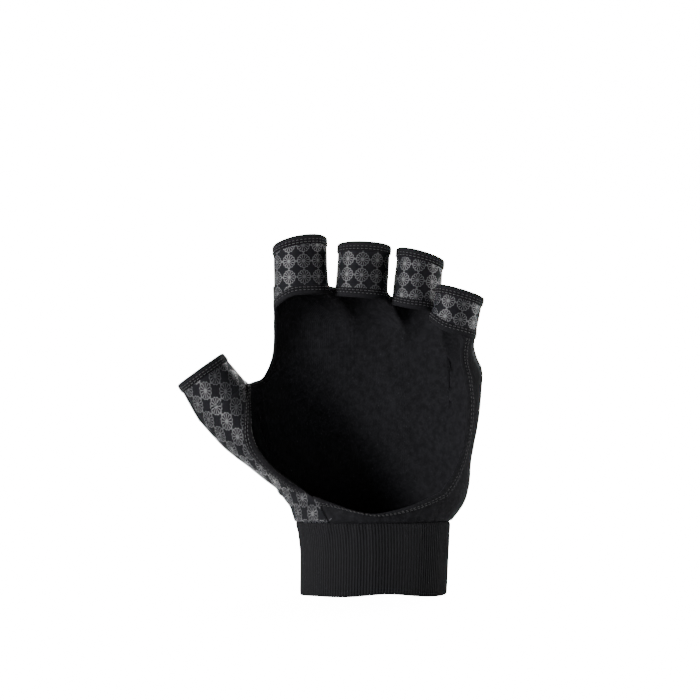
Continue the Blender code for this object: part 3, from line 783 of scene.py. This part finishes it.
def turned_hem(name, points, out, spots, round_it=False, plump=1.0):
    """A folded hem; each row of points starts at the edge and runs into the cloth."""
    grid, places = [], []
    for line, way, place in zip(points, out, spots):
        joined = np.concatenate([line, way, place], axis=1)
        made = [walk(joined, w * hem_share(line)) for w, _ in FOLD]
        grid.append([m[:3] + m[3:6] * off * (plump if off > 0 else 1)
                     for m, (_, off) in zip(made, FOLD)])
        places.append([m[6:] for m in made])
    return cloth(name, [(np.array(grid), np.array(places))], plain_finish, thick=0, wrap=True,
                 closed=round_it, solid=True)


def thread_finish(name, colour, gloss):
    """Twisted polyester thread, lighter where its strands catch the light."""
    made, tree, shader, u, v = new_finish(name)
    strand = speckle(tree, 2500.0, 2.0)
    low = tuple(0.7 * c for c in colour)
    tree.links.new(colour_of(between(strand, 0.35, 0.65), low, colour),
                   shader.inputs["Base Color"])
    tree.links.new(relief(strand, 0.4, 0.05), shader.inputs["Normal"])
    shader.inputs["Roughness"].default_value = gloss
    shader.inputs["Specular IOR Level"].default_value = 0.2
    return made


thread = thread_finish("black_thread", (0.0062, 0.0064, 0.0070), 0.6)
# the same black thread in a darker colour, for the stitches over the heel and up the little finger
# side: painted shade
shade_darkened_thread = thread_finish("black_thread_with_painted_shade", (0.0042, 0.0043, 0.0048), 0.6)


def sew(name, rails, finish=thread, pitch=1.7, length=1.1, thick=0.13, slant=0.0, height=0.05):
    """Stitches of thread along rails, each a row of points and the ways out of the cloth."""
    made = bmesh.new()
    for points, out, closed in rails:
        points, out = np.asarray(points), np.asarray(out)
        if closed:
            points, out = np.vstack([points, points[:1]]), np.vstack([out, out[:1]])
        joined = np.concatenate([points, out], axis=1)
        total = np.linalg.norm(np.diff(points, axis=0), axis=1).sum()
        count = max(2, int(total / pitch))
        for k in range(count):
            middle = walk(joined, (k + 0.5) * total / count)
            ahead = walk(joined, min(total, (k + 0.5) * total / count + 0.3))
            way = ahead[:3] - middle[:3]
            way = way / max(np.linalg.norm(way), 1e-9)
            n = middle[3:] / np.linalg.norm(middle[3:])
            side = np.cross(n, way)
            lean = slant * (1 if k % 2 else -1)
            way = way * math.cos(lean) + side * math.sin(lean)
            side = np.cross(n, way)
            rings = []
            for t, lift, size in ((-0.5, -0.22, 0.7), (-0.32, height, 1), (0.0, height + 0.05, 1),
                                  (0.32, height, 1), (0.5, -0.22, 0.7)):
                at = middle[:3] + way * t * length + n * lift + MIDDLE
                ring = []
                for a in range(6):
                    r = math.pi / 3 * a
                    spot = at + (side * math.cos(r) + n * math.sin(r)) * thick * size
                    ring.append(made.verts.new(Vector(spot * 0.001)))
                rings.append(ring)
            for low, high in zip(rings, rings[1:]):
                for a in range(6):
                    face = made.faces.new((low[a], low[(a + 1) % 6], high[(a + 1) % 6], high[a]))
                    face.smooth = True
            made.faces.new(rings[0])
            made.faces.new(rings[-1])
    bmesh.ops.recalc_face_normals(made, faces=made.faces)
    return piece_from(name, made, finish)


def hem_rails(points, out, closed=False, lift=0.38):
    """The rails of a hem's two rows of stitches."""
    rails = []
    for inside in STITCH_ROWS:
        found = np.array([walk(np.concatenate([line, way], axis=1), inside * hem_share(line))
                          for line, way in zip(points, out)])
        rails.append((found[:, :3] + found[:, 3:] * lift, found[:, 3:], closed))
    return rails


panel_out = facing(panel_grid)
above_heel = slice(28, len(panel_grid))
edge_points, edge_out = panel_grid[above_heel, ::-1], panel_out[above_heel, ::-1]
thumb_hem = turned_hem("thumb_panel_hem", edge_points, edge_out, panel_spots[above_heel, ::-1])
thumb_hem_stitches = sew("thumb_panel_hem_stitches", hem_rails(edge_points, edge_out))

side_points, side_out = heel_made[:, ::-1], heel_out[:, ::-1]
plain_hem = turned_hem("heel_and_side_hem", side_points, side_out, heel_spots[:, ::-1])
# these stitches take the darker copy of the thread, a painted shade on them
plain_hem_stitches = sew("heel_and_side_hem_stitches", hem_rails(side_points, side_out),
                         shade_darkened_thread)

# the web's rows run in from its edge: two from the thumb, then up the edge of the back
WEB_LOW, WEB_HIGH, WEB_WIDE = 88.9, 91.0, 4.6
rows = []
low_turn = thumb_side(WEB_LOW) - round_by(WEB_LOW, thumb_side(WEB_LOW), WEB_WIDE)
low, high = hand_point(WEB_LOW, low_turn), hand_point(WEB_HIGH, thumb_side(WEB_HIGH))
for t in (0.0, 0.5):
    inner, edge = thumb_point(0, 122, 0.4), thumb_point(0, 90, 0.4)
    inner, edge = inner + (low - inner) * t, edge + (high - edge) * t
    rows.append([edge + (inner - edge) * s for s in np.linspace(0, 1, 7)])
for v in np.linspace(0, 1, 13):
    row = []
    for s in np.linspace(0, 1, 7):
        turn = -88 - 20 * s
        top = finger_point("index", BEND_START, turn)
        start = WEB_HIGH + (WEB_LOW - WEB_HIGH) * s
        z = start + (top[2] - start) * v
        p = hand_point(z, thumb_side(z) - round_by(z, thumb_side(z), WEB_WIDE) * s)
        row.append(toward_finger(p, "index", BEND_START, turn, top[2] - z))
    rows.append(row)
web_points = smooth_through(rows, 5)
# they run the other way from those of the other pieces, so the cloth's outer face is behind them
web_out = -facing(web_points)
web_hem = turned_hem("thumb_web_hem", web_points, web_out, even_map(web_points, 0.1, 0.15))
web_hem_stitches = sew("thumb_web_hem_stitches", hem_rails(web_points, web_out))

for piece, slot_name, nodes in (
    (thumb_hem, "plain_knit", ("thumb_edge_hem",)),
    (plain_hem, "plain_knit", ("ulnar_edge_hem", "heel_hem")),
):
    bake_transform(piece)
    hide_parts(*nodes)
for piece in (thumb_hem_stitches, plain_hem_stitches):
    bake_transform(piece)
for piece in (web_hem, web_hem_stitches):
    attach(piece, "hand")
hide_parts("web_edge_hem")

# Overlock thread: loops of it show where the thumb panel and the heel go into the cuff seam. Their
# pale colour is partly the thread's own and partly a painted glint of light on it. They lie close
# to the cloth, in two short rows.
pale_and_glint_thread = thread_finish("overlock_thread_pale_with_painted_glint", (0.045, 0.046, 0.050), 0.6)
rails = []
for z, first_x, last_x in ((31.9, -13.5, -4.0), (32.6, -9.0, 1.0)):
    points = np.array([hand_point(z, palm_angle(z, x)) for x in np.linspace(first_x, last_x, 12)])
    out = points - np.array([17.4, 0, z])
    rails.append((points, out / np.linalg.norm(out, axis=1, keepdims=True), False))
loose_thread = sew("cuff_seam_overlock_thread", rails, pale_and_glint_thread, pitch=2.6, length=1.5,
                   thick=0.11, slant=0.8, height=-0.1)
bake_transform(loose_thread)

# Finger sleeves: each has a printed front and a plain back, sewn together at its two sides.
# The top edge is a turned hem all the way round. The lower edge of the fronts is one hem across
# the fingers, and small plain gussets fill the gaps between the sleeves.
LATTICE_AT = {"index": (-17.9, 139.5), "middle": (6.84, 141.0), "ring": (30.5, 139.0),
              "little": (48.5, 123.0)}


def sleeve_top(name, angle):
    """How far up a sleeve its top edge is; it rolls and pitches a little."""
    f, r = FINGERS[name], math.radians(angle)
    return f["long"] + f["roll"] * math.sin(r) + f["pitch"] * math.cos(r)


def sleeve_low(name, angle):
    """How far up a sleeve its lower edge is: the palm hem, then the seam to the back."""
    start, end = FINGERS[name]["palm"]
    past = max(start - angle, angle - end, 0)
    line = palm_hem_line(name, min(max(angle, start), end))
    return line + (BEND_START - line) * ease(0, 12, past), ease(0, 12, past)


def sleeve_spot(name, up_by, angle):
    """The place in the print of a point on a finger sleeve."""
    angle = angle - 360 if angle > 180 else angle
    f = FINGERS[name]
    x, z = LATTICE_AT[name]
    up, side, _ = sleeve_axes(f["lean"], f["back"])
    away = np.array([x, 0, z]) - np.array(f["at"])
    wide, deep = f["wide"][0], f["deep"][0]
    start = math.degrees(math.asin(np.clip(away @ side / wide, -0.95, 0.95)))
    turns = np.radians(np.linspace(start, angle, 13))
    arc = np.hypot(wide * np.cos(turns), deep * np.sin(turns))
    around = float(((arc[1:] + arc[:-1]) / 2 * np.diff(turns)).sum())
    return around / WHEEL, (up_by - away @ up) / WHEEL


def outward(points, middle, up):
    """The ways straight out from a sleeve's middle line, at points on the sleeve."""
    out = points - middle
    out -= (out @ up)[..., None] * up
    return out / np.linalg.norm(out, axis=2, keepdims=True)


def creased(x, y, z):
    """The small unevenness of a finger sleeve's printed front."""
    fold = noise.noise(Vector((x * 0.16, y * 0.16, z * 0.07 + 5)))
    return 0.22 * (fold + 0.5 * noise.noise(Vector((x * 0.4, y * 0.4, z * 0.12))))


SIDE_SEAM, SEAM_OVER = 108.5, 5.0  # degrees round from the middle of the palm side
UNDER_HEM, UNDER_SEAM = 3.6, 1.4   # how far the cloth goes on under the top hem and the base seam
HEM_STEPS, HEM_TURNS = np.linspace(0, 5, 9), np.linspace(0, 360, 96, endpoint=False)
for name, f in FINGERS.items():
    up, _, _ = sleeve_axes(f["lean"], f["back"])
    middle = np.array(f["at"])

    grid, spots = np.zeros((22, 56, 3)), np.zeros((22, 56, 2))
    for c, angle in enumerate(np.linspace(-SIDE_SEAM, SIDE_SEAM, 56)):
        low, past = sleeve_low(name, angle)
        low += 3.3 * (1 - past) - 2.2 * math.sin(math.pi * past)
        high = sleeve_top(name, angle) - UNDER_HEM
        for r, t in enumerate(np.linspace(0, 1, 22)):
            grid[r, c] = finger_point(name, low + (high - low) * t, angle)
            spots[r, c] = sleeve_spot(name, low + (high - low) * t, angle)
    out = facing(grid)
    made = moved_out(tucked(grid, out), out, creased)
    front = cloth(f"{name}_printed_front", [(made, spots)], print_finish, lining=plain_finish)

    back_start, back_end = SIDE_SEAM - SEAM_OVER, 360 - SIDE_SEAM + SEAM_OVER
    low = BEND_START - UNDER_SEAM
    grid, spots = np.zeros((20, 36, 3)), np.zeros((20, 36, 2))
    for c, angle in enumerate(np.linspace(back_start, back_end, 36)):
        high = sleeve_top(name, angle) - UNDER_HEM
        for r, t in enumerate(np.linspace(0, 1, 20)):
            up_by = low + (high - low) * t
            under = 0.9 * (1 - ease(low, BEND_START, up_by))
            grid[r, c] = finger_point(name, up_by, angle, -under)
            spots[r, c] = (c * 0.12, up_by / WHEEL)
    out = facing(grid)
    made = moved_out(tucked(grid, out, deep=0.9), out, eased)
    back = cloth(f"{name}_plain_back", [(made, spots)], plain_finish)

    points, spots = [np.array([[what(name, sleeve_top(name, a) - w, a) for w in HEM_STEPS]
                               for a in HEM_TURNS]) for what in (finger_point, sleeve_spot)]
    out = outward(points, middle + up * 12, up)
    top_hem = turned_hem(f"{name}_folded_hem", points, out, spots, round_it=True, plump=1.1)
    stitches = sew(f"{name}_hem_stitches", hem_rails(points, out, closed=True))

    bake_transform(front)
    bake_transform(back)
    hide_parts(f"{name}_grip_front", f"{name}_bend_band")
    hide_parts(f"{name}_back")
    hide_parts(f"{name}_top_hem")
    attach(top_hem, f"{name}_finger")
    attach(stitches, f"{name}_finger")

# The thumb's top hem is made the same way as the fingers' own.
points = np.array([[thumb_point(THUMB_LONG - w, a) for w in HEM_STEPS] for a in HEM_TURNS])
out = outward(points, THUMB_AT, thumb_up)
spots = (points[:, :, [0, 2]] - THUMB_WHEEL_AT) / WHEEL
thumb_top = turned_hem("thumb_folded_hem", points, out, spots, round_it=True)
thumb_top_stitches = sew("thumb_hem_stitches", hem_rails(points, out, closed=True))
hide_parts("thumb_top_hem")
for piece, slot_name in ((thumb_top, "grip_knit"), (thumb_top_stitches, "plain_knit")):
    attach(piece, "thumb")

# Gussets: small plain pieces of jersey that fill the gaps between neighbouring sleeves. Each
# sags a little between its two seams. The palm hem runs on across their lower ends.
bridges = {}
for left, left_end, right, right_end, node_name in (
    ("index", 116, "middle", -112, "crotch_gusset_index_middle"),
    ("middle", 112, "ring", -112, "crotch_gusset_middle_ring"),
    ("ring", 98, "little", -150, "crotch_gusset_ring_little"),
):
    left_start, right_start = FINGERS[left]["palm"][1], FINGERS[right]["palm"][0]
    grid = np.zeros((20, 9, 3))
    for r, s in enumerate(np.linspace(0, 1, 20)):
        a = left_start + (left_end - left_start) * s
        b = right_start + (right_end - right_start) * s
        p = finger_point(left, sleeve_low(left, a)[0], a)
        q = finger_point(right, sleeve_low(right, b)[0], b)
        for c, t in enumerate(np.linspace(0, 1, 9)):
            sag = np.array([0, 0, 0.9 * math.sin(math.pi * t)])
            grid[r, c] = p + (q - p) * t - sag
    bridges[left] = grid
    gusset = cloth(f"gusset_{left}_{right}", [(grid, even_map(grid, 0.06, 0.1))], plain_finish)
    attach(gusset, "hand")
    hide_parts(node_name)

# Palm hems: the folded lower edge of the printed fronts. One runs from the web of the thumb
# across three fingers and the gussets between them, and a lower one crosses the little finger.
for title, names, node_name in (
    ("finger_palm_hem", ("index", "middle", "ring"), "finger_base_hem"),
    ("little_palm_hem", ("little",), "little_base_hem"),
):
    points, out, spots = [], [], []
    for name in names:
        start, end = FINGERS[name]["palm"]
        # the outer ends go on under the web's hem and the side's hem
        start -= 6 if name == names[0] else 0
        end += 9 if name == "little" else 0
        for angle in np.linspace(start, end, 44):
            low = palm_hem_line(name, angle)
            points.append([finger_point(name, low + w, angle) for w in HEM_STEPS])
            flat = finger_point(name, 0, angle) - finger_point(name, 0, angle + 180)
            out.append([flat / np.linalg.norm(flat)] * len(HEM_STEPS))
            spots.append([sleeve_spot(name, low + w, angle) for w in HEM_STEPS])
        if name in bridges and name != names[-1]:
            grid = bridges[name]
            ways = facing(grid)
            for c in range(1, 8):
                points.append(grid[:len(HEM_STEPS), c])
                out.append(ways[:len(HEM_STEPS), c])
                spots.append(spots[-1])
    hem = turned_hem(title, points, out, spots)
    stitches = sew(f"{title}_stitches", hem_rails(points, out))
    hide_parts(node_name)
    for piece, slot_name in ((hem, "grip_knit"), (stitches, "plain_knit")):
        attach(piece, "hand")

# Seam allowance inside the top of the cuff: the raw edges of the cuff and the hand part, folded
# down together and overlocked. Its solid is kept as it is and given the jersey's finish.
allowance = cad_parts["cuff_seam_allowance"]
for place in allowance.material_slots:
    place.material = plain_finish
